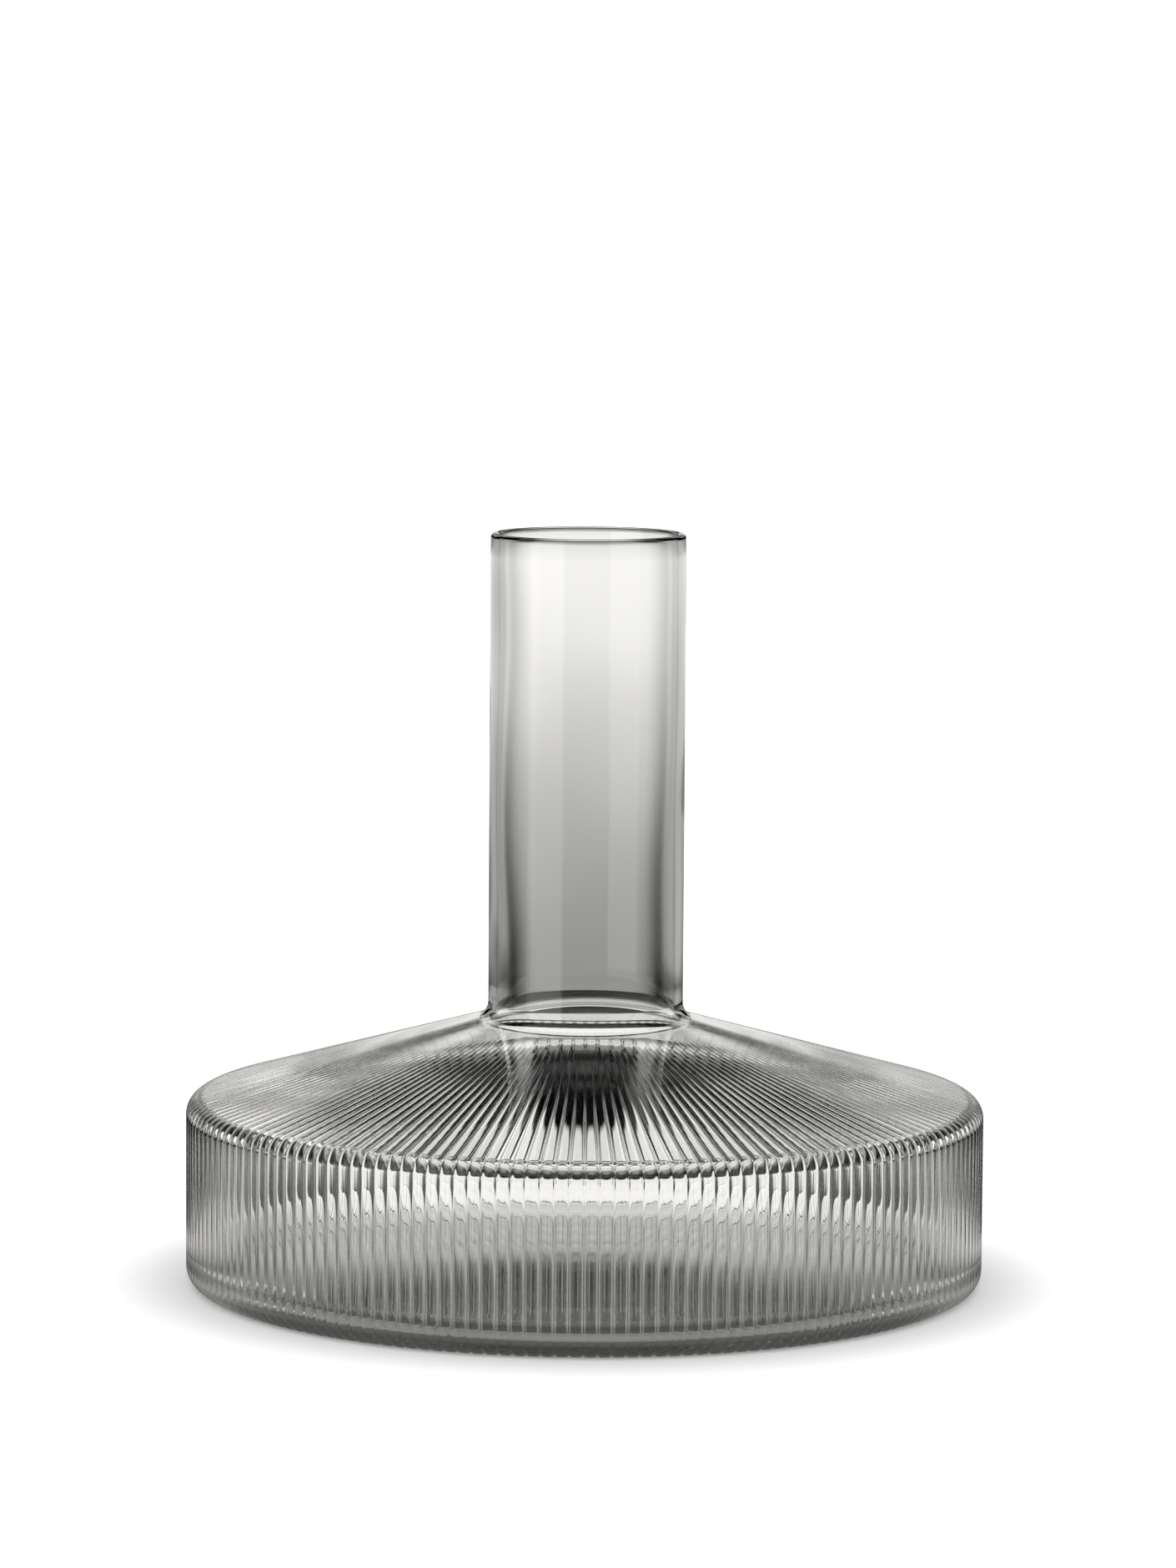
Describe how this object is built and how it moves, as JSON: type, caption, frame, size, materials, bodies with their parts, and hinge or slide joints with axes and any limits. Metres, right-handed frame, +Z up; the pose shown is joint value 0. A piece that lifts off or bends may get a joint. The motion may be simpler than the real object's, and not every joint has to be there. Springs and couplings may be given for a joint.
{
  "type": "wine carafe",
  "caption": "Wide, low glass carafe for wine, with a plain upright neck on a gently sloped shoulder, and fine ribs over its shoulder, side and heel.",
  "frame": {"origin": "middle of the foot, on the surface that the carafe stands on", "axes": "+Z up along the neck, which is the axis that the whole carafe is round about; a groove between two ribs faces -Y"},
  "size_m": [0.2, 0.2, 0.1885],
  "materials": {
    "smoked_glass": "clear smoke-grey soda-lime glass, mould-blown, with a fire-polished lip"
  },
  "bodies": {
    "root": {"neck": "smoked_glass", "collar": "smoked_glass", "shoulder": "smoked_glass", "side": "smoked_glass", "base": "smoked_glass"}
  },
  "joints": []
}
